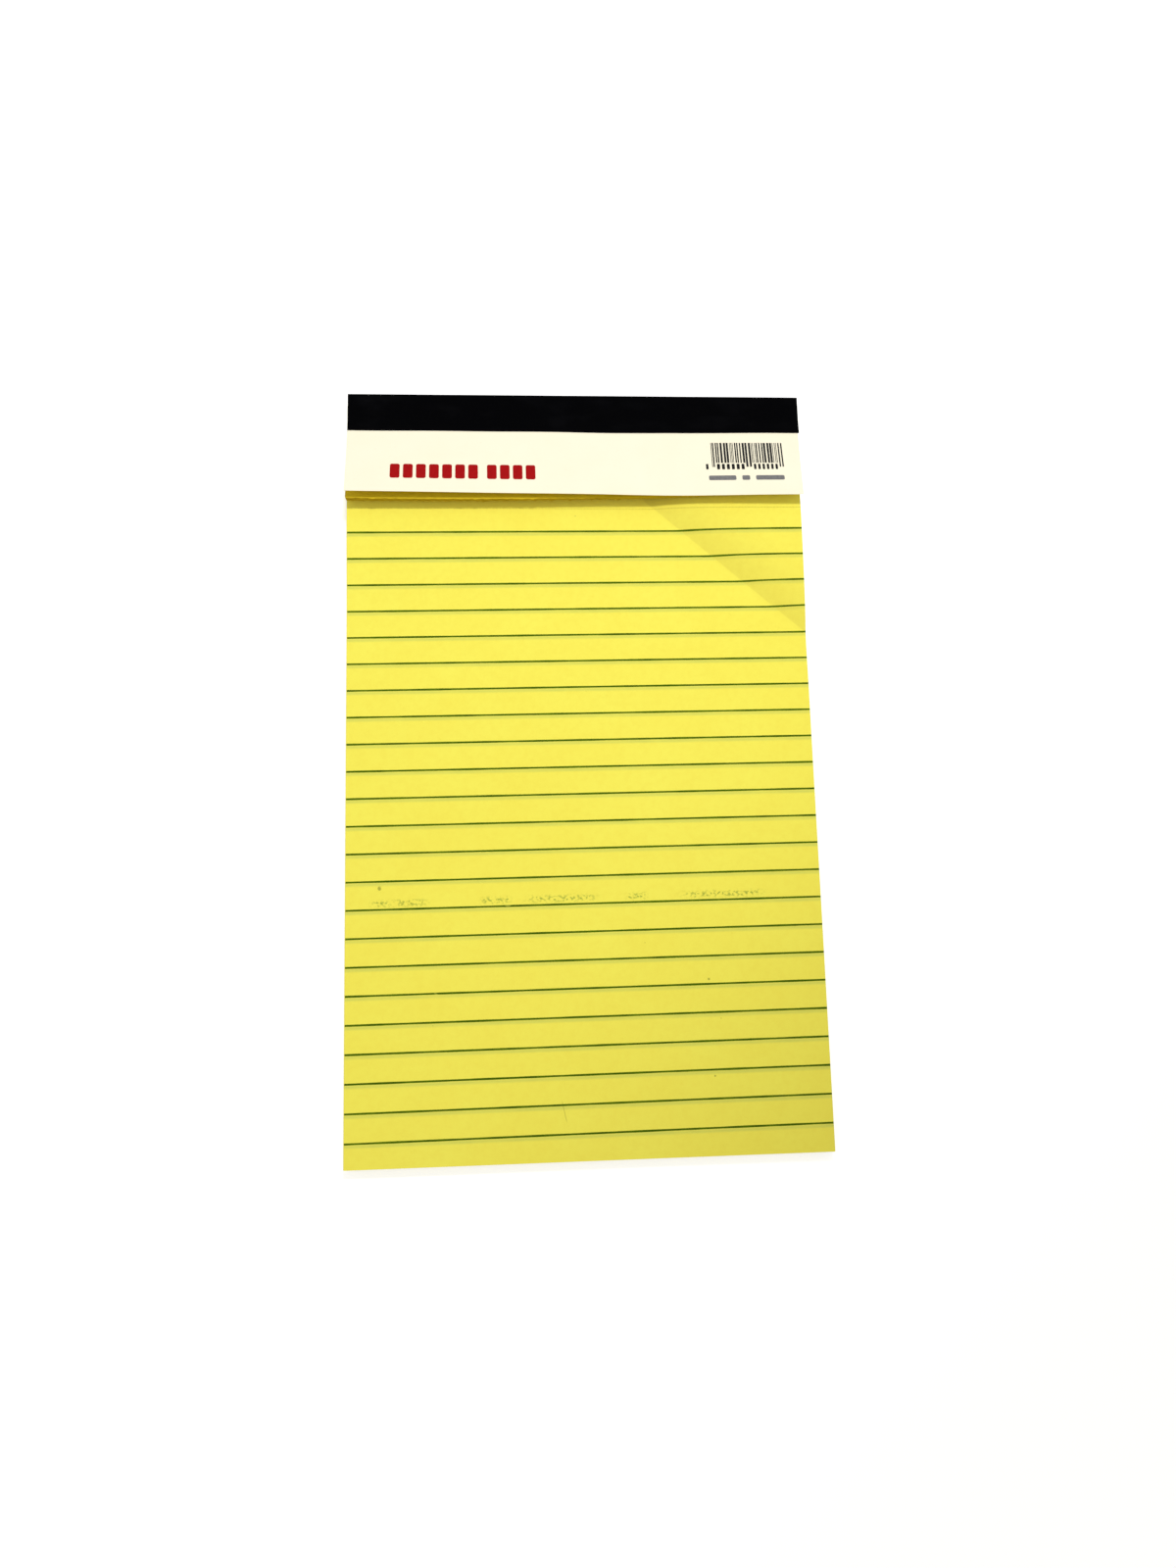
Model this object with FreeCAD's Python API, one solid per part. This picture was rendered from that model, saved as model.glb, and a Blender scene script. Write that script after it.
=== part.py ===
import FreeCAD, Part
import math
import os

# A junior legal pad, half used, lying flat on its chipboard back.
# The row frame has its origin under the middle of the pad, +Y towards the bound head,
# +X to the reader's right and +Z up through the sheets. All lengths are in millimetres.

# Overall sheet size and the stack
pad_width = 127.0
pad_length = 210.0
board_thickness = 0.9
sheet_thickness = 0.09
full_sheet_count = 36
torn_sheet_count = 14
label_thickness = 0.15
tape_thickness = 0.15
layer_clearance = 0.02

# Distances measured from the head edge down the pad
tape_front_band = 11.2
tape_back_band = 11.5
clamp_depth = 7.0
label_length = 31.5
perforation_depth = 33.7
first_rule_depth = 40.3
sheets_flat_depth = 64.5

# Ruling
rule_count = 23
rule_pitch = 7.4
rule_width = 0.48
rule_skew_deg = 0.41
ink_thickness = 0.05

# The header springs up from the clamped head: lift of the label's free edge
flap_lift_left = 6.7
flap_lift_centre = 4.9
flap_lift_right = 4.9
flap_bend_share = 0.3

# The torn stubs hang below the label and fan apart, most of all on the left
label_gap_left = 2.7
label_gap_right = 0.5
stub_fan_left = 1.6
stub_fan_right = 0.1
stub_recess_left = 1.4
stub_recess_right = 2.2

# The top sheets bulge beside the perforation, and their right corner is creased upwards
page_bulge_left = 1.4
page_bulge_right = 0.5
crease_start_x = 19.4
crease_start_depth = 32.8
crease_end_x = 60.5
crease_end_depth = 68.6
crease_slope = 0.28
crease_reach = 10.0
crease_radius = 2.2

# Wire staples through the head, hidden by the tape
staple_spacing = 76.0
staple_depth = 4.6
staple_crown = 12.0
staple_wire_width = 0.7
staple_wire_thickness = 0.5
staple_bend_radius = 0.8
staple_tip_gap = 3.4
staple_clearance = 0.05

# Print on the label: one row of heading blocks in two groups, and a bar field over small marks and grey dashes
heading_margin = 12.1
heading_word_counts = (7, 4)
heading_block_width = 2.67
heading_block_space = 0.9
heading_word_space = 2.5
heading_depth = 22.3
heading_height = 4.7
code_margin = 25.0
code_module = 0.198
code_bar_count = 30
code_depth = 14.5
code_height = 6.6
guard_drop = 1.3
mark_depth = 21.4
mark_height = 1.8
mark_space = 0.55
group_mark_count = 6
caption_margin = 26.2
caption_depth = 25.2
caption_height = 1.5
caption_lengths = (7.7, 2.2, 8.1)
caption_space = 1.7

# Worked out from the sizes above
half_width = pad_width / 2
head_y = pad_length / 2
foot_y = -head_y
stack_head_y = head_y - tape_thickness
page_z = board_thickness + full_sheet_count * sheet_thickness
stub_stack = torn_sheet_count * sheet_thickness
cover_z = page_z + stub_stack + 2 * layer_clearance
label_top_z = cover_z + label_thickness

# Sampling of the curved sheets, and how far their faces run past the pad before trimming
overrun = 2.0
relief_margin = 12.0
page_cross_step = 4.0
flap_cross_step = 16.0
length_step = 2.5


def smooth_step(value):
    """Rise from 0 to 1 with level ends."""
    held = min(max(value, 0.0), 1.0)
    return held * held * (3.0 - 2.0 * held)


def across(x, left, centre, right):
    """A parabola over the pad's width through its values at the left edge, the middle and the right edge."""
    u = x / half_width
    return centre + (right - left) / 2 * u + ((right + left) / 2 - centre) * u * u


def along_flap(depth):
    """How far the flap has sprung up: 0 in the clamp, then a bend, then nearly straight to 1 at its edge."""
    out = max((depth - clamp_depth) / (label_length - clamp_depth), 0.0)
    return out * out * (1.0 + flap_bend_share) / (out + flap_bend_share)


def cover_underside(x, depth):
    """Height of the label's underside."""
    return cover_z + across(x, flap_lift_left, flap_lift_centre, flap_lift_right) * along_flap(depth)


def label_gap(x):
    """Gap between the label and the stubs at the label's free edge."""
    return across(x, label_gap_left, (label_gap_left + label_gap_right) / 2, label_gap_right)


def stub_fan(x):
    """Air between the fanned stubs at the label's free edge."""
    return across(x, stub_fan_left, (stub_fan_left + stub_fan_right) / 2, stub_fan_right)


def stub_topside(x, depth):
    """Height of the uppermost stub."""
    return cover_underside(x, depth) - layer_clearance - label_gap(x) * along_flap(depth)


def stub_underside(x, depth):
    """Height of the lowest stub's underside."""
    return stub_topside(x, depth) - stub_stack - stub_fan(x) * along_flap(depth)


def past_crease(x, depth):
    """Distance beyond the crease, towards the top right corner."""
    run_x = crease_end_x - crease_start_x
    run_depth = crease_end_depth - crease_start_depth
    run = math.hypot(run_x, run_depth)
    return ((x - crease_start_x) * run_depth - (depth - crease_start_depth) * run_x) / run


def page_top(x, depth):
    """Height of the uppermost full sheet: flat, bulged near the perforation, lifted past the crease."""
    head_rise = smooth_step((depth - clamp_depth) / (perforation_depth - clamp_depth))
    foot_fall = 1.0 - smooth_step((depth - perforation_depth) / (sheets_flat_depth - perforation_depth))
    page_bulge_centre = (page_bulge_left + page_bulge_right) / 2
    bulge = across(x, page_bulge_left, page_bulge_centre, page_bulge_right) * head_rise * foot_fall
    beyond = past_crease(x, max(depth, perforation_depth))
    softened = crease_radius * math.log1p(math.exp(beyond / crease_radius))
    corner_lift = crease_slope * crease_reach * (1.0 - math.exp(-softened / crease_reach))
    fade = smooth_step((relief_depth - depth) / (relief_depth - crease_end_depth))
    return page_z + bulge + corner_lift * head_rise * fade


def sheet_face(height_at, deepest, cross_step):
    """A smooth face through the heights on a grid, from past the head edge down to the given depth."""
    cross_count = math.ceil((pad_width + 2 * overrun) / cross_step)
    length_count = math.ceil((deepest + overrun) / length_step)
    grid = []
    for i in range(cross_count + 1):
        x = -half_width - overrun + (pad_width + 2 * overrun) * i / cross_count
        row = []
        for j in range(length_count + 1):
            depth = -overrun + (deepest + overrun) * j / length_count
            row.append(FreeCAD.Vector(x, head_y - depth, height_at(x, depth)))
        grid.append(row)
    surface = Part.BSplineSurface()
    surface.interpolate(grid)
    return surface.toShape()


def block_between(x0, x1, y0, y1, z0, z1):
    """A rectangular block between two corners."""
    return Part.makeBox(x1 - x0, y1 - y0, z1 - z0, FreeCAD.Vector(x0, y0, z0))


def below(face, region):
    """The part of a block that lies under a curved face."""
    drop = face.BoundBox.ZMax + overrun
    return face.extrude(FreeCAD.Vector(0, 0, -drop)).common(region)


def raised(face, height):
    """The same curved face, moved up."""
    copy = face.copy()
    copy.translate(FreeCAD.Vector(0, 0, height))
    return copy


def film(face, region):
    """A layer of ink on a curved face, inside the given shapes."""
    return face.extrude(FreeCAD.Vector(0, 0, ink_thickness)).common(region)


def printed_bar(left, length, depth, height):
    """An upright block that cuts one printed bar out of the ink layer on the label."""
    y1 = head_y - depth
    return block_between(left, left + length, y1 - height, y1, label_top_z - overrun, sky_z)


def staple_ring(x_middle, clearance):
    """A staple closed round the stack, or with a clearance the cavity that it needs in the paper."""
    half_crown = staple_crown / 2 + clearance
    inner = staple_wire_thickness + 2 * clearance
    y0 = head_y - staple_depth - staple_wire_width / 2 - clearance
    y1 = y0 + staple_wire_width + 2 * clearance
    z0 = tape_thickness - clearance
    z1 = label_top_z + clearance
    outside = block_between(x_middle - half_crown, x_middle + half_crown, y0, y1, z0, z1)
    inside = block_between(x_middle - half_crown + inner, x_middle + half_crown - inner,
                           y0, y1, z0 + inner, z1 - inner)
    outer_bend = staple_bend_radius + clearance
    ring = rounded_along_y(outside, outer_bend).cut(rounded_along_y(inside, outer_bend - inner))
    half_gap = staple_tip_gap / 2 - clearance
    gap = block_between(x_middle - half_gap, x_middle + half_gap, y0, y1, z0, z0 + inner)
    return ring.cut(gap)


def rounded_along_y(block, radius):
    """A block with its four edges along Y rounded, as a bent wire has them."""
    edges = [edge for edge in block.Edges if abs(edge.tangentAt(edge.FirstParameter).y) > 0.5]
    return block.makeFillet(radius, edges)


# Where the top sheet is flat again below the crease and the bulge
relief_depth = max(sheets_flat_depth, crease_end_depth) + relief_margin
flap_depth = perforation_depth + overrun
sky_z = label_top_z + 2 * max(flap_lift_left, flap_lift_centre, flap_lift_right)

cover_face = sheet_face(cover_underside, flap_depth, flap_cross_step)
stub_top_face = sheet_face(stub_topside, flap_depth, flap_cross_step)
stub_bottom_face = sheet_face(stub_underside, flap_depth, flap_cross_step)
page_face = sheet_face(page_top, relief_depth, page_cross_step)
label_face = raised(cover_face, label_thickness)

staple_places = (-staple_spacing / 2, staple_spacing / 2)
staples = [staple_ring(x, 0.0) for x in staple_places]
staple_cavities = Part.makeCompound([staple_ring(x, staple_clearance) for x in staple_places])

# Chipboard back, with a shallow bed so that the tape's back band lies flush
board = block_between(-half_width, half_width, foot_y, stack_head_y, 0.0, board_thickness)
tape_bed = block_between(-half_width, half_width, head_y - tape_back_band, head_y, 0.0, tape_thickness)
backing_board = board.cut(tape_bed).cut(staple_cavities)

# The sheets that are left: a flat block, and its head end under the bulged and creased face
relief_y = head_y - relief_depth
flat_sheets = block_between(-half_width, half_width, foot_y, relief_y, board_thickness, page_z)
relief_region = block_between(-half_width, half_width, relief_y, stack_head_y, board_thickness, sky_z)
relief_sheets = below(page_face, relief_region)
sheet_block = flat_sheets.fuse(relief_sheets).removeSplitter().cut(staple_cavities)

# The strips left in the head by the sheets that were torn off
perforation_y = head_y - perforation_depth
stub_outline = Part.Face(Part.makePolygon([
    FreeCAD.Vector(-half_width, stack_head_y, board_thickness),
    FreeCAD.Vector(-half_width, perforation_y + stub_recess_left, board_thickness),
    FreeCAD.Vector(half_width, perforation_y + stub_recess_right, board_thickness),
    FreeCAD.Vector(half_width, stack_head_y, board_thickness),
    FreeCAD.Vector(-half_width, stack_head_y, board_thickness),
]))
stub_region = stub_outline.extrude(FreeCAD.Vector(0, 0, sky_z))
torn_stubs = below(stub_top_face, stub_region).cut(below(stub_bottom_face, stub_region))
torn_stubs = torn_stubs.cut(staple_cavities)

# The printed header label over the stubs
label_region = block_between(-half_width, half_width, head_y - label_length, stack_head_y, 0.0, sky_z)
header_label = cover_face.extrude(FreeCAD.Vector(0, 0, label_thickness)).common(label_region)
header_label = header_label.cut(staple_cavities)

# The binding tape: over the label, down the head edge and back under the board
tape_front_y = head_y - tape_front_band
tape_back_y = head_y - tape_back_band
outer_skin = below(raised(label_face, tape_thickness),
                   block_between(-half_width, half_width, tape_front_y, head_y, 0.0, sky_z))
inner_stack = below(label_face,
                    block_between(-half_width, half_width, tape_front_y, stack_head_y, 0.0, sky_z))
back_band = block_between(-half_width, half_width, tape_back_y, head_y, 0.0, tape_thickness)
binding_tape = outer_skin.cut(inner_stack).fuse(back_band).removeSplitter()

# The ruling, printed at a slight skew across the top sheet
rule_bars = []
for k in range(rule_count):
    y_middle = head_y - first_rule_depth - k * rule_pitch
    bar = block_between(-pad_width, pad_width, -rule_width / 2, rule_width / 2, board_thickness, sky_z)
    bar.rotate(FreeCAD.Vector(0, 0, 0), FreeCAD.Vector(0, 0, 1), rule_skew_deg)
    bar.translate(FreeCAD.Vector(0, y_middle, 0))
    rule_bars.append(bar)
page_region = block_between(-half_width, half_width, foot_y, head_y, board_thickness, sky_z)
ink_on_flat = block_between(-half_width, half_width, foot_y, relief_y, page_z, page_z + ink_thickness)
relief_ink = film(page_face, relief_region)
ruled_strips = []
for bar in rule_bars:
    trimmed = bar.common(page_region)
    flat_part = trimmed.common(ink_on_flat)
    relief_part = trimmed.common(relief_ink)
    ruled_strips.extend(flat_part.Solids + relief_part.Solids)
rule_lines = Part.makeCompound(ruled_strips)

# The heading: two rows of plain blocks where the words stood
heading_bars = []
block_x = heading_margin - half_width
for block_count in heading_word_counts:
    for i in range(block_count):
        heading_bars.append(printed_bar(block_x, heading_block_width, heading_depth, heading_height))
        block_x += heading_block_width + heading_block_space
    block_x += heading_word_space - heading_block_space
heading_print = film(label_face, Part.makeCompound(heading_bars))

# The code field: bars of one to three modules, with two longer ones at each end and in the middle
half_count = code_bar_count // 2
long_bars = (0, 1, half_count - 1, half_count, code_bar_count - 2, code_bar_count - 1)
code_marks = []
bar_lefts = []
bar_rights = []
code_left = half_width - code_margin
bar_x = code_left
for i in range(code_bar_count):
    bar_width = code_module * (1 + (i * i + i // 3) % 3)
    bar_space = code_module * (1 + (i * 5 + i // 4) % 2)
    bar_height = code_height + (guard_drop if i in long_bars else 0.0)
    code_marks.append(printed_bar(bar_x, bar_width, code_depth, bar_height))
    bar_lefts.append(bar_x)
    bar_rights.append(bar_x + bar_width)
    bar_x += bar_width + bar_space

# A row of small marks between the longer bars, and one to their left
for first, last in (long_bars[1:3], long_bars[3:5]):
    mark_step = (bar_lefts[last] - bar_rights[first] - mark_space) / group_mark_count
    mark_width = mark_step - mark_space
    for i in range(group_mark_count):
        mark_x = bar_rights[first] + mark_space + i * mark_step
        code_marks.append(printed_bar(mark_x, mark_width, mark_depth, mark_height))
code_marks.append(printed_bar(code_left - mark_step - mark_space, mark_width, mark_depth, mark_height))
code_print = film(label_face, Part.makeCompound(code_marks))

# The small line under the code field: three grey dashes
caption_bars = []
caption_x = half_width - caption_margin
for length in caption_lengths:
    caption_bars.append(printed_bar(caption_x, length, caption_depth, caption_height))
    caption_x += length + caption_space
caption_print = film(label_face, Part.makeCompound(caption_bars))

nodes = {
    "backing_board": backing_board,
    "sheet_block": sheet_block,
    "torn_stubs": torn_stubs,
    "header_label": header_label,
    "binding_tape": binding_tape,
    "staple_left": staples[0],
    "staple_right": staples[1],
    "rule_lines": rule_lines,
    "heading_print": heading_print,
    "code_print": code_print,
    "caption_print": caption_print,
}

os.makedirs("parts", exist_ok=True)
for name, shape in nodes.items():
    shape.exportStep("parts/" + name + ".step")
    box = shape.BoundBox
    print(name, "solids", len(shape.Solids), "valid", shape.isValid(), "volume %.1f" % shape.Volume,
          "z %.2f to %.2f" % (box.ZMin, box.ZMax))
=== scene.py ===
import math

import bpy
import numpy as np
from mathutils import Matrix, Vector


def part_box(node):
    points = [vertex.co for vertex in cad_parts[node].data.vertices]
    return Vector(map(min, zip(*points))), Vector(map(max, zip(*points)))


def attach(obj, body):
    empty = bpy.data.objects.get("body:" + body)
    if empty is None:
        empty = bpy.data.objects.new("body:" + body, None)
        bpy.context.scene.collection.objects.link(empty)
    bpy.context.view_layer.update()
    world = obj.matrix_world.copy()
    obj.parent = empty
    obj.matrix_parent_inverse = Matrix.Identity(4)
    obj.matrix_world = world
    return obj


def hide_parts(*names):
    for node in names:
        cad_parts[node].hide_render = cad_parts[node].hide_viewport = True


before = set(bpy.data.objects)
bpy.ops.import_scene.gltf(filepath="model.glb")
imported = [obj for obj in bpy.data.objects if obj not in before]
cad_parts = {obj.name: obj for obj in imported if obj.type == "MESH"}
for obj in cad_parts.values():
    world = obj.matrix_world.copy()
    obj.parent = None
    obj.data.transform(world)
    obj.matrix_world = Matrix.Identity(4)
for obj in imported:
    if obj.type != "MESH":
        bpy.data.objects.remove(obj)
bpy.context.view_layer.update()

# The chipboard back. Grey-brown board pressed from waste paper and cut with the sheets, so its
# face shows flecks and short fibres. It carries the whole stack, and its outer face has a shallow
# bed at the head for the tape's lower band.
MM = 0.001
dice = np.random.default_rng(7)


class Tone:
    """A number, colour or direction in a finish: one socket of its shader. Sums on tones add Math nodes."""

    def __init__(self, tree, socket):
        self.tree = tree
        self.socket = socket

    def node(self, kind, settings, values, out=0):
        """Adds a node of a kind, applies its settings, then fills its sockets with tones or plain values."""
        made = self.tree.nodes.new("ShaderNode" + kind)
        for name, setting in settings.items():
            setattr(made, name, setting)
        for key, value in values.items():
            if isinstance(value, Tone):
                self.tree.links.new(value.socket, made.inputs[key])
            else:
                made.inputs[key].default_value = value
        return Tone(self.tree, made.outputs[out])

    def math(self, operation, *others):
        return self.node("Math", {"operation": operation}, dict(enumerate((self, *others))))

    def __add__(self, other):
        return self.math("ADD", other)

    def __sub__(self, other):
        return self.math("SUBTRACT", other)

    def __rsub__(self, other):
        return self.math("MULTIPLY", -1.0) + other

    def __mul__(self, other):
        return self.math("MULTIPLY", other)

    __radd__ = __add__
    __rmul__ = __mul__

    def grain(self, size, detail=2.0):
        """Noise from 0 to 1 whose lumps are about this many millimetres wide."""
        return self.node("TexNoise", {}, {"Vector": self, "Scale": 1.0 / size, "Detail": detail})

    def stretched(self, x, y, z):
        """The same place with its three directions multiplied."""
        return self.node("VectorMath", {"operation": "MULTIPLY"}, {0: self, 1: (x, y, z)})

    def along(self, axis):
        """One coordinate of a place, 0 for x, 1 for y or 2 for z."""
        return self.node("SeparateXYZ", {}, {0: self}, out=axis)

    def rise(self, low, high):
        """0 below low, 1 above high, with a smooth step between."""
        values = {0: self, 1: low, 2: high}
        return self.node("MapRange", {"interpolation_type": "SMOOTHSTEP"}, values)

    def hump(self, centre, half_width):
        """1 at the centre, falling smoothly to 0 at the half width on both sides."""
        return 1.0 - (self - centre).math("ABSOLUTE").rise(0.0, half_width)

    def turn(self, low, high):
        """The colour that goes from low to high as this number goes from 0 to 1."""
        return self.node("Mix", {"data_type": "RGBA"}, {0: self, 6: low, 7: high}, out=2)


def screen(red, green, blue):
    """A colour given in screen values from 0 to 255, as the linear colour that a shader takes."""
    parts = np.array([red, green, blue]) / 255.0
    linear = np.where(parts > 0.04045, ((parts + 0.055) / 1.055) ** 2.4, parts / 12.92)
    return (*linear.tolist(), 1.0)


def new_finish(name):
    """An empty finish, and the place on the pad in millimetres as its shader reads it."""
    finish = bpy.data.materials.new(name)
    finish.use_nodes = True
    tree = finish.node_tree
    place = Tone(tree, tree.nodes.new("ShaderNodeTexCoord").outputs["Object"])
    return finish, place.stretched(1 / MM, 1 / MM, 1 / MM)


def lay_finish(finish, colour, roughness, relief=None, gloss=0.25):
    """Puts a colour, a roughness and a relief in millimetres on a finish's surface."""
    tree = finish.node_tree
    surface = tree.nodes["Principled BSDF"]
    surface.inputs["Specular IOR Level"].default_value = gloss
    for name, value in (("Base Color", colour), ("Roughness", roughness)):
        if isinstance(value, Tone):
            tree.links.new(value.socket, surface.inputs[name])
        else:
            surface.inputs[name].default_value = value
    if relief is not None:
        bump = relief.node("Bump", {}, {"Distance": MM, "Height": relief})
        tree.links.new(bump.socket, surface.inputs["Normal"])


chipboard, place = new_finish("chipboard")
pulp = place.grain(9.0, 4.0)
fibres = place.stretched(0.35, 1.6, 1.0).grain(0.9, 3.0)
dark_flecks = place.stretched(1.0, 0.5, 1.0).grain(0.55).rise(0.68, 0.76)
pale_flecks = place.stretched(0.4, 1.1, 1.0).grain(0.7).rise(0.7, 0.78)
board_colour = pulp.turn(screen(150, 138, 120), screen(168, 157, 139))
board_colour = (fibres * 0.5).turn(board_colour, screen(136, 124, 106))
board_colour = (dark_flecks * 0.55).turn(board_colour, screen(84, 76, 68))
board_colour = (pale_flecks * 0.6).turn(board_colour, screen(206, 198, 182))
lay_finish(chipboard, board_colour, 0.82 + 0.1 * pulp, 0.03 * fibres + 0.02 * pulp)
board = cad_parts["backing_board"]
board.data.materials.clear()
board.data.materials.append(chipboard)

# The full sheets that are left. Thin yellow writing paper, stacked on the board and stapled
# through the head with the stubs. The upper ones have bulged beside the perforation, and their
# right corner has a diagonal crease, past which it stands up.
pad_low, pad_high = (np.array(corner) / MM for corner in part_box("sheet_block"))
head_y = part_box("binding_tape")[1].y / MM
half_width = pad_high[0]
foot_y = pad_low[1]
board_top = pad_low[2]
sheet_count = 36
sheet_thickness = 0.09
clamp_depth = 7.0
perforation_depth = 33.7
flat_depth = 64.5
page_bulge_left = 1.4
page_bulge_right = 0.5
crease_start = (20.7, 32.8)
crease_end = (62.2, 68.6)
crease_slope = 0.32
crease_reach = 6.0
crease_radius = 0.5
crease_fade_depth = 80.6
sheet_shift = 0.12
cockle = 0.045
crease_sink = 0.75
crease_sink_width = 5.0


def across(x, left, centre, right):
    """A parabola over the width through its values at the left edge, the middle and the right edge."""
    u = x / half_width
    return centre + (right - left) / 2 * u + ((right + left) / 2 - centre) * u * u


def smooth_step(value):
    """Three times the square less twice the cube of a value held between 0 and 1."""
    held = np.clip(value, 0.0, 1.0)
    return held * held * (3.0 - 2.0 * held)


def page_bulge(x, depth):
    """A parabola over the width, times a smooth rise from the clamp to the perforation and a smooth
    fall after it."""
    head_rise = smooth_step((depth - clamp_depth) / (perforation_depth - clamp_depth))
    foot_fall = 1.0 - smooth_step((depth - perforation_depth) / (flat_depth - perforation_depth))
    middle = (page_bulge_left + page_bulge_right) / 2
    return across(x, page_bulge_left, middle, page_bulge_right) * head_rise * foot_fall


def past_crease(x, depth):
    """Distance from the crease's line, positive towards the corner: a cross product over the
    line's length."""
    run_x = crease_end[0] - crease_start[0]
    run_depth = crease_end[1] - crease_start[1]
    side = (x - crease_start[0]) * run_depth - (depth - crease_start[1]) * run_x
    return side / math.hypot(run_x, run_depth)


def corner_lift(x, depth):
    """Slope times reach times one less a falling exponential of the distance past the crease, rounded off
    at the crease by a log of one plus an exponential, and faded out towards the clamp."""
    beyond = past_crease(x, np.maximum(depth, perforation_depth))
    softened = crease_radius * np.logaddexp(0.0, beyond / crease_radius)
    lift = crease_slope * crease_reach * (1.0 - np.exp(-softened / crease_reach))
    head_rise = smooth_step((depth - clamp_depth) / (perforation_depth - clamp_depth))
    fade = smooth_step((crease_fade_depth - depth) / (crease_fade_depth - crease_end[1]))
    return lift * head_rise * fade


def cockling(x, y):
    """Two long sine waves crossing at a slant, as paper that has taken up damp lies."""
    return cockle * (np.sin(x / 19.0 + y / 31.0 + 0.6) + 0.7 * np.sin(y / 14.0 - x / 37.0))


def sheet_height(x, y, level):
    """The stack's height at a level from 0, the board, to 1, the top sheet, with the bulge, the lift and the
    cockling growing with powers of the level."""
    depth = head_y - y
    flat = board_top + level * sheet_count * sheet_thickness
    free = smooth_step((depth - clamp_depth) / perforation_depth)
    waves = cockling(x, y) * free * level ** 4.0
    return flat + page_bulge(x, depth) * level ** 1.3 + corner_lift(x, depth) * level ** 3.0 + waves


def grid(xs, ys):
    """Two arrays of x and y over a grid, x along the rows."""
    return np.meshgrid(xs, ys, indexing="ij")


def closed_sheet(upper, lower):
    """A closed shell between two grids of points: quads over the upper grid, the same quads turned over on
    the lower one, and a wall of quads round their common rim. Rows run to the right and columns away, as
    seen from the upper side."""
    rows, columns = upper.shape[:2]
    index = np.arange(rows * columns).reshape(rows, columns)
    over = np.stack([index[:-1, :-1], index[1:, :-1], index[1:, 1:], index[:-1, 1:]], -1).reshape(-1, 4)
    rim = np.concatenate([index[:-1, 0], index[-1, :-1], index[:0:-1, -1], index[0, :0:-1]])
    ahead = np.roll(rim, -1)
    under = index.size
    walls = np.stack([rim + under, ahead + under, ahead, rim], -1)
    points = np.concatenate([upper.reshape(-1, 3), lower.reshape(-1, 3)])
    return points, np.concatenate([over, over[:, ::-1] + under, walls])


def slab(x, y, top, bottom):
    """A closed shell over a grid of x and y between two heights."""
    return closed_sheet(np.stack([x, y, top], -1), np.stack([x, y, bottom], -1))


def make_piece(name, shells, finish, crisp_deg=40.0):
    """One mesh of closed shells, in metres, smooth but for edges sharper than the given angle."""
    points, faces, count = [], [], 0
    for shell_points, shell_faces in shells:
        points.append(shell_points * MM)
        faces.append(shell_faces + count)
        count += len(shell_points)
    mesh = bpy.data.meshes.new(name)
    mesh.from_pydata(np.concatenate(points), [], np.concatenate(faces).tolist())
    mesh.polygons.foreach_set("use_smooth", np.ones(len(mesh.polygons), bool))
    mesh.set_sharp_from_angle(angle=math.radians(crisp_deg))
    mesh.materials.append(finish)
    mesh.update()
    piece = bpy.data.objects.new(name, mesh)
    bpy.context.scene.collection.objects.link(piece)
    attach(piece, "root")
    return piece


rule_count = 23
rule_pitch = 7.4
first_rule_depth = 40.3
rule_skew_deg = 0.41
rule_skew = math.tan(math.radians(rule_skew_deg))

page_paper, place = new_finish("page_paper")
x_place = place.along(0)
y_place = place.along(1)
level_y = y_place - x_place * rule_skew
clouds = place.grain(14.0, 3.0)
mottle = place.grain(1.6, 3.0)
fibre = place.stretched(1.0, 0.55, 1.0).grain(0.35)
paper_colour = clouds.turn(screen(253, 238, 84), screen(255, 247, 94))
paper_colour = (mottle.rise(0.35, 0.75) * 0.25).turn(paper_colour, screen(246, 228, 80))

# The ruling on the sheet's other side shows through as a soft green band just under each line.
under_rule = (level_y - (head_y - first_rule_depth)) * (1.0 / rule_pitch)
rule_phase = (under_rule + (rule_count + 0.5)).math("FRACT") * rule_pitch
band = rule_phase.hump(rule_pitch / 2 - 0.72, 0.8)
inside = y_place.rise(foot_y + 5.0, foot_y + 5.5) * (1.0 - y_place.rise(head_y - 40.0, head_y - 39.0))
patchy = place.stretched(0.3, 1.0, 1.0).grain(2.2, 3.0)
band_colour = screen(206, 212, 96)
paper_colour = (band * inside * (0.3 + 0.6 * patchy)).turn(paper_colour, band_colour)

# Painted shade past the crease: the paper is darkened most beside the fold and less towards the corner, with
# a mottle.
run_x, run_depth = crease_end[0] - crease_start[0], crease_end[1] - crease_start[1]
fold_length = math.hypot(run_x, run_depth)
beyond = (x_place - crease_start[0]) * (run_depth / fold_length)
beyond = beyond + (y_place - (head_y - crease_start[1])) * (run_x / fold_length)
past_crease_painted_shade = beyond.rise(-0.2, 0.3) * (1.0 - 0.85 * beyond.rise(0.0, 17.0)) * (0.75 + 0.5 * mottle)
paper_colour = (past_crease_painted_shade * 0.5).turn(paper_colour, screen(229, 214, 78))

# The line of small cuts that the sheets tear along.
cuts = (x_place * 1.1).math("FRACT").hump(0.5, 0.42)
perforation = y_place.hump(head_y - perforation_depth, 0.3) * (0.24 + 0.1 * cuts)
paper_colour = perforation.turn(paper_colour, screen(150, 138, 40))

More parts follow.
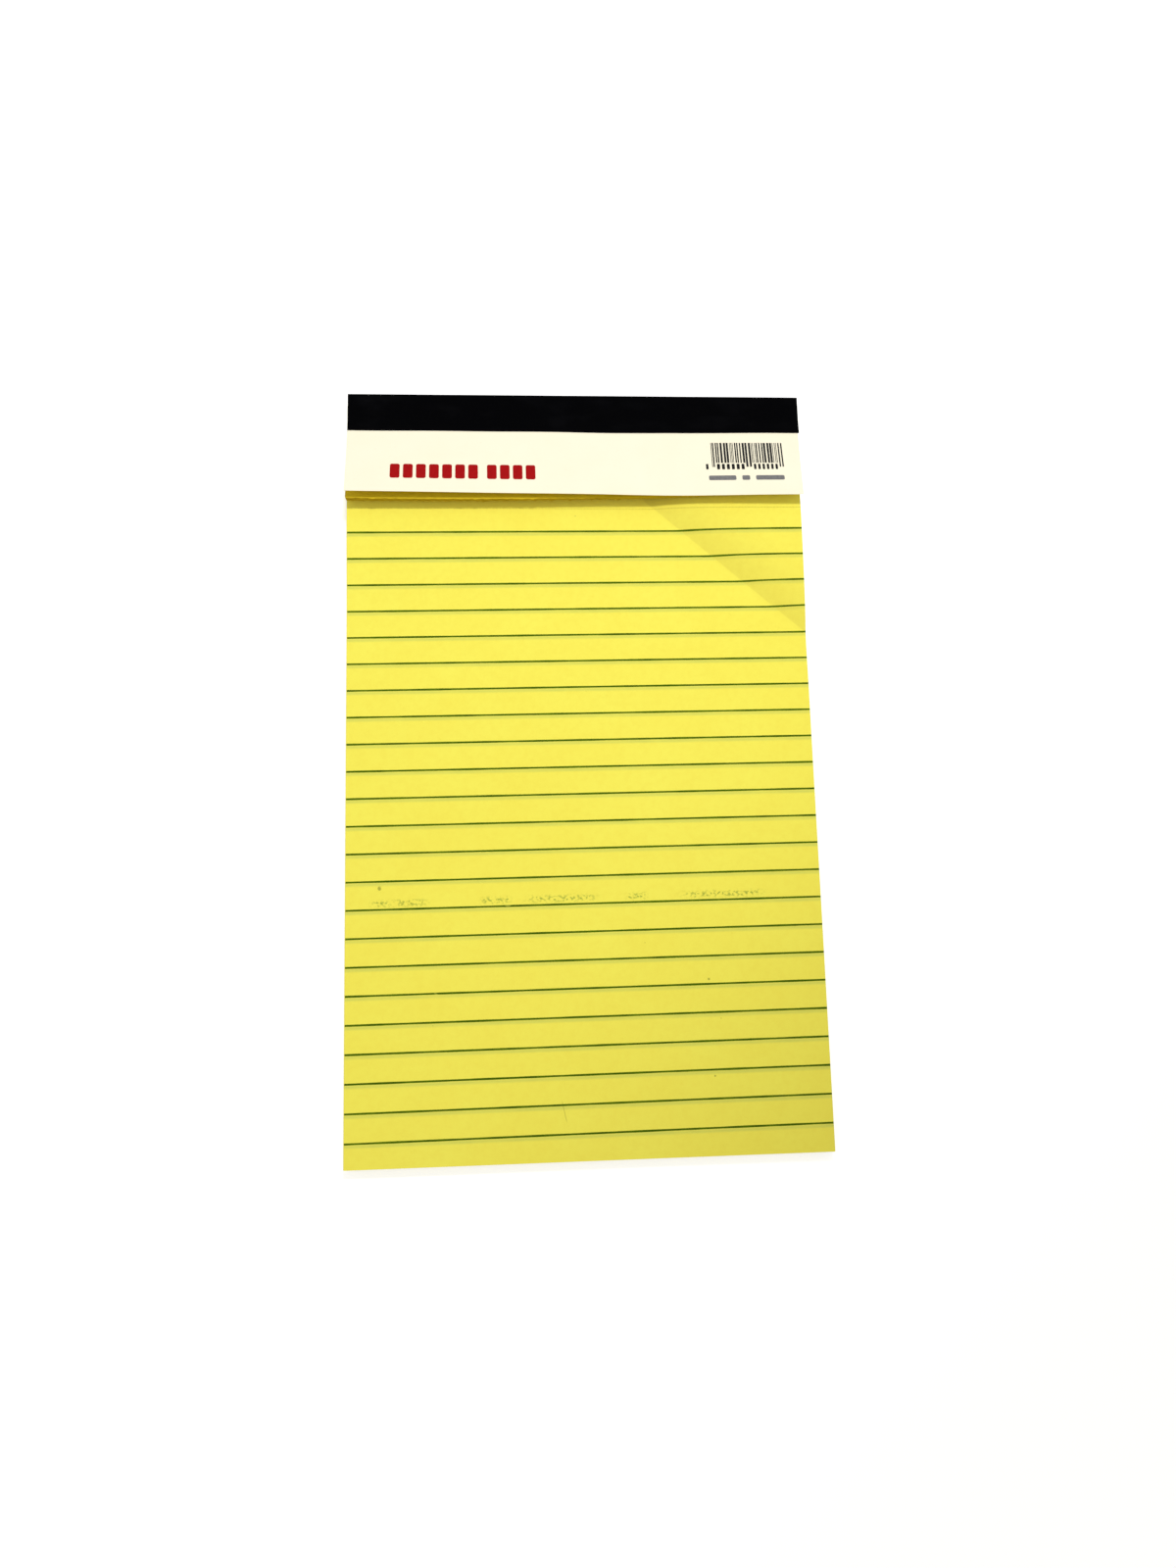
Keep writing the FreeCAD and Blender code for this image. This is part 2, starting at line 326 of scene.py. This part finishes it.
# Green ink smeared by a hand along one line, a hair caught on the paper, and a few specks.
smear_y = -37.3
smear_half_height = 1.5
smears = ((-49.5, 10.0), (-24.0, 5.5), (-6.8, 13.0), (13.5, 4.0), (36.8, 15.0))
smudges = place.stretched(0.9, 1.0, 1.0).grain(0.7, 4.0).rise(0.46, 0.62)
for smear_x, half_span in smears:
    touched = x_place.hump(smear_x, half_span).rise(0.0, 0.5) * level_y.hump(smear_y, smear_half_height)
    paper_colour = (touched * smudges * 0.7).turn(paper_colour, screen(128, 154, 50))
hair = (x_place + 0.22 * y_place).hump(-27.45, 0.16) * y_place.hump(-92.5, 3.4).rise(0.0, 0.4)
paper_colour = (hair * 0.5).turn(paper_colour, screen(120, 118, 40))
specks = ((-54.7, -33.8, 0.8), (32.0, -59.6, 0.42), (32.7, -84.7, 0.3), (34.9, -69.9, 0.22),
          (-40.8, -69.6, 0.22), (-0.4, 69.2, 0.25), (15.3, -49.6, 0.2))
flat_place = place.stretched(1, 1, 0)
for speck_x, speck_y, radius in specks:
    centre = (speck_x, speck_y, 0)
    away = place.node("VectorMath", {"operation": "DISTANCE"}, {0: flat_place, 1: centre}, 1)
    spot = 1.0 - (away + (mottle - 0.5) * (radius * 2.0)).rise(radius * 0.3, radius)
    paper_colour = (spot * 0.6).turn(paper_colour, screen(104, 112, 30))
page_relief = 0.014 * fibre + 0.02 * mottle - 0.06 * perforation
lay_finish(page_paper, paper_colour, 0.72 + 0.12 * mottle, page_relief)

fine_columns = np.concatenate([np.linspace(-half_width, 14.0, 52), np.linspace(14.5, half_width, 99)])
fine_rows = np.concatenate([
    np.linspace(foot_y, head_y - 83.0, 80),
    np.linspace(head_y - 82.4, head_y - 28.0, 92),
    np.linspace(head_y - 26.0, pad_high[1], 18),
])
x, y = grid(fine_columns, fine_rows)
page = sheet_height(x, y, 1.0)
top_sheet = make_piece("top_sheet", [slab(x, y, page, page - sheet_thickness)], page_paper)
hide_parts("sheet_block")

stack_paper, place = new_finish("stack_paper")
layers = place.stretched(0.02, 0.02, 9.0).grain(1.0, 3.0)
stack_colour = layers.turn(screen(238, 219, 78), screen(253, 243, 108))
lay_finish(stack_paper, stack_colour, 0.8, 0.02 * place.grain(0.4))

stack = []
for k in range(sheet_count - 1):
    level = (k + 1) / sheet_count
    shift_x, shift_y = dice.normal(0.0, sheet_shift, 2) * level
    trim = min(abs(shift_y), 0.3)
    x, y = grid(np.linspace(-half_width, half_width, 24), np.linspace(foot_y + trim, pad_high[1], 40))
    beside_crease = np.exp(-((past_crease(x, head_y - y) / crease_sink_width) ** 2))
    under_crease = crease_sink * beside_crease * level ** 3.0
    page = sheet_height(x, y, level) - under_crease - 0.012 * level
    stack.append(slab(x + shift_x, y, page, page - sheet_thickness + 0.02))
lower_sheets = make_piece("lower_sheets", stack, stack_paper)
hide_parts("sheet_block")

# The ruling. Green lines printed across the top sheet at a slight skew, their ink a little thin
# and broken in places, so each is a film that follows the paper.
rule_width = 0.5
ink_height = 0.035

rule_ink, place = new_finish("rule_ink")
ink_cover = place.stretched(0.3, 1.4, 1.0).grain(1.1, 4.0)
ink_breaks = place.stretched(0.22, 0.6, 1.0).grain(1.4, 2.0).rise(0.71, 0.78)
rule_colour = ink_cover.rise(0.3, 0.8).turn(screen(64, 92, 0), screen(94, 120, 4))
rule_colour = (ink_breaks * 0.6).turn(rule_colour, screen(200, 205, 80))
lay_finish(rule_ink, rule_colour, 0.7, gloss=0.05)

rules = []
for k in range(rule_count):
    x, side = grid(fine_columns, np.array([-0.5, 0.0, 0.5]))
    thin = 1.0 + 0.12 * np.sin(x / 7.3 + 1.7 * k) * np.sin(x / 2.9 + k)
    y = head_y - first_rule_depth - k * rule_pitch + rule_skew * x + side * rule_width * thin
    page = sheet_height(x, y, 1.0)
    rules.append(slab(x, y, page + ink_height * (1.0 - 0.6 * np.abs(side)), page - ink_height))
ruled_lines = make_piece("ruled_lines", rules, rule_ink)
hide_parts("rule_lines")

# The torn stubs. Strips of the sheets already used, still held in the head under the label. They
# fan out below it, and each ends in the small teeth that the perforation leaves.
stub_count = 14
flap_lift = (6.7, 4.9, 4.9)
flap_bend = 0.3
flap_dip = 0.8
flap_dip_x = 27.0
flap_dip_width = 20.0
label_length = 31.5
label_thickness = 0.15
label_gap = (2.7, 1.6, 0.5)
stub_fan = (1.6, 0.85, 0.1)
stub_recess = (1.4, 1.8, 4.0)
tooth_pitch = 1.05
tooth_depth = 0.16
layer_gap = 0.02
tucked_depth = 0.15
remnant_height = 0.35
remnant_share = 0.07
fan_step_back = 0.35
stack_top = board_top + sheet_count * sheet_thickness
cover_base = stack_top + stub_count * sheet_thickness + 2 * layer_gap


def sprung(depth):
    """How far the flap has sprung up: the square of the way out from the clamp over that way plus
    the bend, scaled to 1 at the label's free edge."""
    out = np.maximum((depth - clamp_depth) / (label_length - clamp_depth), 0.0)
    return out * out * (1.0 + flap_bend) / (out + flap_bend)


def cover_height(x, depth):
    """The label's underside: a parabola over the width less a bell-shaped dip, times how far the
    flap has sprung."""
    dip = flap_dip * np.exp(-(((x - flap_dip_x) / flap_dip_width) ** 2))
    return cover_base + (across(x, *flap_lift) - dip) * sprung(depth)


stub_paper_painted_shade, place = new_finish("stub_paper_painted_shade")
stub_mottle = place.grain(1.8, 3.0)
# The stubs are coloured darker and deeper yellow than the page: painted shade from the label over them.
stub_colour_painted_shade = stub_mottle.turn(screen(208, 178, 20), screen(226, 200, 36))
lay_finish(stub_paper_painted_shade, stub_colour_painted_shade, 0.78, 0.015 * place.grain(0.35))

stubs = []
for k in range(stub_count):
    share = k / (stub_count - 1)
    across_x = np.linspace(-half_width, half_width, 170)
    recess = across(across_x, *stub_recess)
    teeth = np.abs((across_x / tooth_pitch + dice.random()) % 1.0 - 0.5) * 2.0 * tooth_depth
    spared = np.maximum(0.0, dice.random(across_x.size) - (1.0 - remnant_share))
    remnants = remnant_height * spared / remnant_share
    stepped_back = (1.0 - share) * fan_step_back
    end = perforation_depth - recess - stepped_back + teeth + remnants + dice.normal(0.0, 0.08)
    x, way = grid(across_x, np.linspace(1.0, 0.0, 13))
    depth = tucked_depth + way * (end[:, None] - tucked_depth)
    top = cover_height(x, depth) - layer_gap - across(x, *label_gap) * sprung(depth)
    fan = across(x, *stub_fan) * sprung(depth)
    under = top - (stub_count * sheet_thickness + fan) * (1.0 - share)
    face = under - sheet_thickness * share
    curl = dice.normal(0.0, 0.05) * sprung(depth)
    stubs.append(slab(x, head_y - depth, face + curl + sheet_thickness - 0.01, face + curl))
stub_strips = make_piece("stub_strips", stubs, stub_paper_painted_shade)
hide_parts("torn_stubs")

# The header label. A band of smooth cream paper over the stubs, caught under the tape at the head
# and free below, where it has curled up with the stubs.
right_overhang = 0.9
overhang_run = 24.0

label_paper, place = new_finish("label_paper")
label_clouds = place.grain(11.0, 3.0)
label_colour = label_clouds.turn(screen(251, 243, 215), screen(254, 248, 224))
label_colour = (place.grain(0.8, 3.0).rise(0.6, 0.8) * 0.25).turn(label_colour, screen(240, 231, 200))
lay_finish(label_paper, label_colour, 0.5 + 0.1 * label_clouds, 0.006 * place.grain(0.4))


def trimmed_wide(x):
    """How far label and tape stand out past the sheets at the right end of the head: a smooth step there."""
    return right_overhang * smooth_step((x - half_width + overhang_run) / overhang_run)


def label_top(x, depth):
    """The label's upper face: its underside raised by its thickness, with a faint wave along the
    free edge."""
    wave = 0.05 * np.sin(x / 8.0 + 0.8) * sprung(depth)
    return cover_height(x, depth) + label_thickness + wave


x, way = grid(np.linspace(-half_width, half_width, 160), np.linspace(1.0, 0.0, 48))
depth = 0.16 + way * (label_length + 0.05 * np.sin(x / 23.0) - 0.16)
top = label_top(x, depth)
x = x + trimmed_wide(x) * (1.0 - way)
label_band = make_piece("label_band", [slab(x, head_y - depth, top, top - label_thickness)], label_paper)
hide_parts("header_label")

# The print on the label: a row of red blocks in two groups for the heading, a field of black bars
# with a row of marks, and a line of grey dashes. Each is a film of ink on the curved label.
heading_left = 12.1 - half_width
heading_word_counts = (7, 4)
heading_block = 2.67
heading_space = 0.9
heading_word_space = 2.5
heading_depth = 22.3
heading_height = 4.7
heading_corner = 0.55
heading_foot = heading_depth + heading_height
film_height = 0.02


def film(x0, x1, depth0, depth1, corner=0.01):
    """A film of ink on the label. Its corners are quarter circles: near both ends the lines across it step in
    depth by one less the cosine of the turn, and are shorter by one less the sine, times the radius."""
    turn = np.linspace(0.0, math.pi / 2, 6)
    step = corner * (1.0 - np.cos(turn))
    between = np.linspace(depth1 - corner, depth0 + corner, 8)[1:-1]
    rows = np.concatenate([depth1 - step, between, (depth0 + step)[::-1]])
    cut_back = corner * (1.0 - np.sin(turn))
    shorter = np.concatenate([cut_back, 0.0 * between, cut_back[::-1]])
    u, depth = grid(np.linspace(0.0, 1.0, max(3, int((x1 - x0) / 0.8) + 2)), rows)
    x = (x0 + shorter) + u * (x1 - x0 - 2 * shorter)
    top = label_top(x, depth)
    return slab(x, head_y - depth, top + film_height, top - film_height)


heading_ink, place = new_finish("heading_ink")
heading_tone = place.grain(0.9, 3.0)
lay_finish(heading_ink, heading_tone.turn(screen(146, 2, 6), screen(178, 8, 12)), 0.6, gloss=0.08)
blocks = []
block_x = heading_left
for word_count in heading_word_counts:
    for _ in range(word_count):
        blocks.append(film(block_x, block_x + heading_block, heading_depth, heading_foot, heading_corner))
        block_x += heading_block + heading_space
    block_x += heading_word_space - heading_space
heading_blocks = make_piece("heading_blocks", blocks, heading_ink)
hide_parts("heading_print")

code_left = half_width - 25.0
code_module = 0.198
code_bar_count = 30
code_depth = 14.5
code_height = 6.6
long_bar_drop = 1.3
mark_depth = 21.4
mark_height = 1.8
mark_space = 0.55
group_mark_count = 6
mark_corner = 0.2
mark_foot = mark_depth + mark_height

code_ink, place = new_finish("code_ink")
code_tone = place.grain(0.7, 3.0).rise(0.35, 0.75)
lay_finish(code_ink, code_tone.turn(screen(12, 12, 14), screen(44, 44, 44)), 0.6, gloss=0.08)
half_count = code_bar_count // 2
long_bars = (0, 1, half_count - 1, half_count, code_bar_count - 2, code_bar_count - 1)
bars, lefts, rights = [], [], []
bar_x = code_left
for i in range(code_bar_count):
    bar_width = code_module * (1 + (i * i + i // 3) % 3)
    bar_space = code_module * (1 + (i * 5 + i // 4) % 2)
    drop = long_bar_drop if i in long_bars else 0.0
    bars.append(film(bar_x, bar_x + bar_width, code_depth, code_depth + code_height + drop))
    lefts.append(bar_x)
    rights.append(bar_x + bar_width)
    bar_x += bar_width + bar_space
for first, last in (long_bars[1:3], long_bars[3:5]):
    mark_step = (lefts[last] - rights[first] - mark_space) / group_mark_count
    mark_width = mark_step - mark_space
    for i in range(group_mark_count):
        mark_x = rights[first] + mark_space + i * mark_step
        bars.append(film(mark_x, mark_x + mark_width, mark_depth, mark_foot, mark_corner))
mark_x = code_left - mark_step - mark_space
bars.append(film(mark_x, mark_x + mark_width, mark_depth, mark_foot, mark_corner))
code_field = make_piece("code_field", bars, code_ink)
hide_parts("code_print")

caption_left = half_width - 26.2
caption_depth = 25.2
caption_height = 1.5
caption_lengths = (7.7, 2.2, 8.1)
caption_space = 1.7
caption_corner = 0.4
caption_foot = caption_depth + caption_height
caption_ink, place = new_finish("caption_ink")
lay_finish(caption_ink, place.grain(0.6).turn(screen(92, 92, 94), screen(132, 131, 130)), 0.55)
dashes = []
dash_x = caption_left
for length in caption_lengths:
    dashes.append(film(dash_x, dash_x + length, caption_depth, caption_foot, caption_corner))
    dash_x += length + caption_space
caption_dashes = make_piece("caption_dashes", dashes, caption_ink)
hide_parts("caption_print")

# The staples. Two flat steel wires through the whole head, closed under the board and hidden by
# the tape, which shows only a faint ridge over each crown.
staple_spacing = 76.0
staple_depth = 4.6
staple_crown = 12.0

staple_wire, place = new_finish("staple_wire")
drawn = place.stretched(0.1, 3.0, 3.0).grain(0.5)
lay_finish(staple_wire, drawn.turn(screen(176, 178, 182), screen(212, 214, 218)), 0.3 + 0.15 * drawn)
staple_wire.node_tree.nodes["Principled BSDF"].inputs["Metallic"].default_value = 1.0
for name in ("staple_left", "staple_right"):
    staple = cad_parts[name]
    staple.data.materials.clear()
    staple.data.materials.append(staple_wire)

# The binding tape. One strip of matt black paper tape, glued over the label's head, round the end
# of the stack and on under the board.
tape_thickness = 0.15
tape_front_band = 11.2
tape_back_band = 11.2
head_bend = 0.45
foot_bend = 0.25
edge_wander = 0.3
edge_wander_x = 16.0
edge_wander_width = 22.0
crown_ridge = 0.06

binding, place = new_finish("binding_tape")
crepe = place.stretched(1.6, 0.7, 1.0).grain(0.5, 3.0)
scuffs_and_painted_glare = place.stretched(0.5, 1.0, 1.0).grain(5.0, 4.0)
# The mottle is faint scuffing of the tape, lifted towards the left end as a painted glare.
painted_glare_left_end = 1.0 - place.along(0).rise(-half_width, -half_width + 18.0)
tape_colour = (scuffs_and_painted_glare.rise(0.45, 0.8) * (0.35 + 0.65 * painted_glare_left_end)).turn(screen(1, 1, 2), screen(12, 12, 14))
dust = place.grain(0.45).rise(0.79, 0.84)
tape_colour = (dust * 0.35).turn(tape_colour, screen(92, 88, 70))
lay_finish(binding, tape_colour, 0.7 + 0.2 * crepe, 0.03 * crepe, gloss=0.02)


def tape_surface(x, way, inward):
    """Points of the tape's outer face, or of its inner one where inward is its thickness: straight
    along the label, a quarter circle, straight down the head, a quarter circle and straight back."""
    top_base = cover_base + label_thickness + tape_thickness
    flat_run = tape_front_band - head_bend
    fall = top_base - head_bend - foot_bend
    turn_1, turn_2 = head_bend * math.pi / 2, foot_bend * math.pi / 2
    total = flat_run + turn_1 + fall + turn_2 + tape_back_band - foot_bend
    s = way * total
    on_front = np.clip(s, 0.0, flat_run)
    angle_1 = np.clip(s - flat_run, 0.0, turn_1) / head_bend
    down = np.clip(s - flat_run - turn_1, 0.0, fall)
    angle_2 = np.clip(s - flat_run - turn_1 - fall, 0.0, turn_2) / foot_bend
    on_back = np.clip(s - flat_run - turn_1 - fall - turn_2, 0.0, None)
    wander = edge_wander * np.exp(-(((x - edge_wander_x) / edge_wander_width) ** 2)) + 0.04 * np.sin(x / 5.0)
    front_depth = (flat_run - on_front) * (1.0 + wander / flat_run)
    depth = head_bend - (head_bend - inward) * np.sin(angle_1) + front_depth
    depth = depth + (foot_bend - inward) * (1.0 - np.cos(angle_2)) + on_back
    z = top_base - head_bend + (head_bend - inward) * np.cos(angle_1) - down
    z = z - (foot_bend - inward) * np.sin(angle_2)
    lifted = label_top(x, depth) - (cover_base + label_thickness)
    z = z + lifted * (s <= flat_run)
    crown = sum(np.exp(-(((np.abs(x - middle) - staple_crown / 2).clip(0.0) / 0.5) ** 2))
                for middle in (-staple_spacing / 2, staple_spacing / 2))
    ridge = crown_ridge * crown * np.exp(-(((depth - staple_depth) / 0.6) ** 2)) * (s <= flat_run)
    return np.stack([x + trimmed_wide(x), head_y - depth, z + ridge], -1)


along_tape = np.concatenate([
    np.linspace(0.0, 0.38, 26),
    np.linspace(0.385, 0.42, 8),
    np.linspace(0.43, 0.58, 8),
    np.linspace(0.585, 0.62, 8),
    np.linspace(0.63, 1.0, 12),
])
x, way = grid(np.linspace(-half_width, half_width, 200), along_tape)
tape = closed_sheet(tape_surface(x, way, 0.0), tape_surface(x, way, tape_thickness))
tape_strip = make_piece("tape_strip", [tape], binding, 60.0)
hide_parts("binding_tape")

# The stage. A pale floor under the pad, an even sky, and one lamp above the head that is turned
# away to the left, so that its light fades out towards the foot's right corner.
floor_mesh = bpy.data.meshes.new("floor")
floor_half = 3.0
floor_signs = ((-1, -1), (1, -1), (1, 1), (-1, 1))
floor_corners = [(floor_half * sign_x, floor_half * sign_y, 0.0) for sign_x, sign_y in floor_signs]
floor_mesh.from_pydata(floor_corners, [], [(0, 1, 2, 3)])
floor = bpy.data.objects.new("floor", floor_mesh)
bpy.context.scene.collection.objects.link(floor)
floor_finish, place = new_finish("floor_white")
lay_finish(floor_finish, (0.9, 0.9, 0.89, 1.0), 0.9)
ray_kinds = ("Camera", "Glossy", "Transmission")
seen = [place.node("LightPath", {}, {}, "Is %s Ray" % kind) for kind in ray_kinds]
floor_glow = (seen[0] + seen[1] + seen[2]).turn((0.0, 0.0, 0.0, 1.0), (0.5, 0.5, 0.5, 1.0))
floor_surface = floor_finish.node_tree.nodes["Principled BSDF"]
floor_surface.inputs["Emission Strength"].default_value = 1.0
floor_finish.node_tree.links.new(floor_glow.socket, floor_surface.inputs["Emission Color"])
floor_mesh.materials.append(floor_finish)

world = bpy.data.worlds.new("soft_sky")
bpy.context.scene.world = world
world.use_nodes = True
sky = world.node_tree.nodes["Background"]
sky_tone = Tone(world.node_tree, sky.inputs["Color"])
seen = [sky_tone.node("LightPath", {}, {}, "Is %s Ray" % kind) for kind in ray_kinds]
sky_glow = (seen[0] + seen[1] + seen[2]).turn((0.56, 0.555, 0.545, 1.0), (1.0, 1.0, 1.0, 1.0))
world.node_tree.links.new(sky_glow.socket, sky.inputs["Color"])

key_place = np.array([20.0, 205.0, 430.0])
key_aim = np.array([-315.0, 463.0, 0.0])
key = bpy.data.lights.new("key_lamp", "SPOT")
key.energy = 4.0
key.shadow_soft_size = 34.0 * MM
key.spot_size = math.radians(160.0)
key.spot_blend = 0.31
key_lamp = bpy.data.objects.new("key_lamp", key)
key_lamp.location = key_place * MM
key_lamp.rotation_mode = "QUATERNION"
key_lamp.rotation_quaternion = Vector(key_aim - key_place).to_track_quat("-Z", "Y")
bpy.context.scene.collection.objects.link(key_lamp)

# The camera stands where the photographer's did, a little below the middle of the pad.
frame_long_side = 1600
focal_pixels = 1155.0
camera_data = bpy.data.cameras.new("camera")
camera_data.sensor_width = 36.0
camera_data.lens = camera_data.sensor_width * focal_pixels / frame_long_side
camera = bpy.data.objects.new("camera", camera_data)
camera.location = np.array([-20.15, -52.99, 306.53]) * MM
camera.rotation_mode = "ZYX"
camera.rotation_euler = [math.radians(angle) for angle in (8.71, -4.0, -0.91)]
bpy.context.scene.collection.objects.link(camera)
bpy.context.scene.camera = camera

bpy.context.scene.view_settings.view_transform = "Standard"
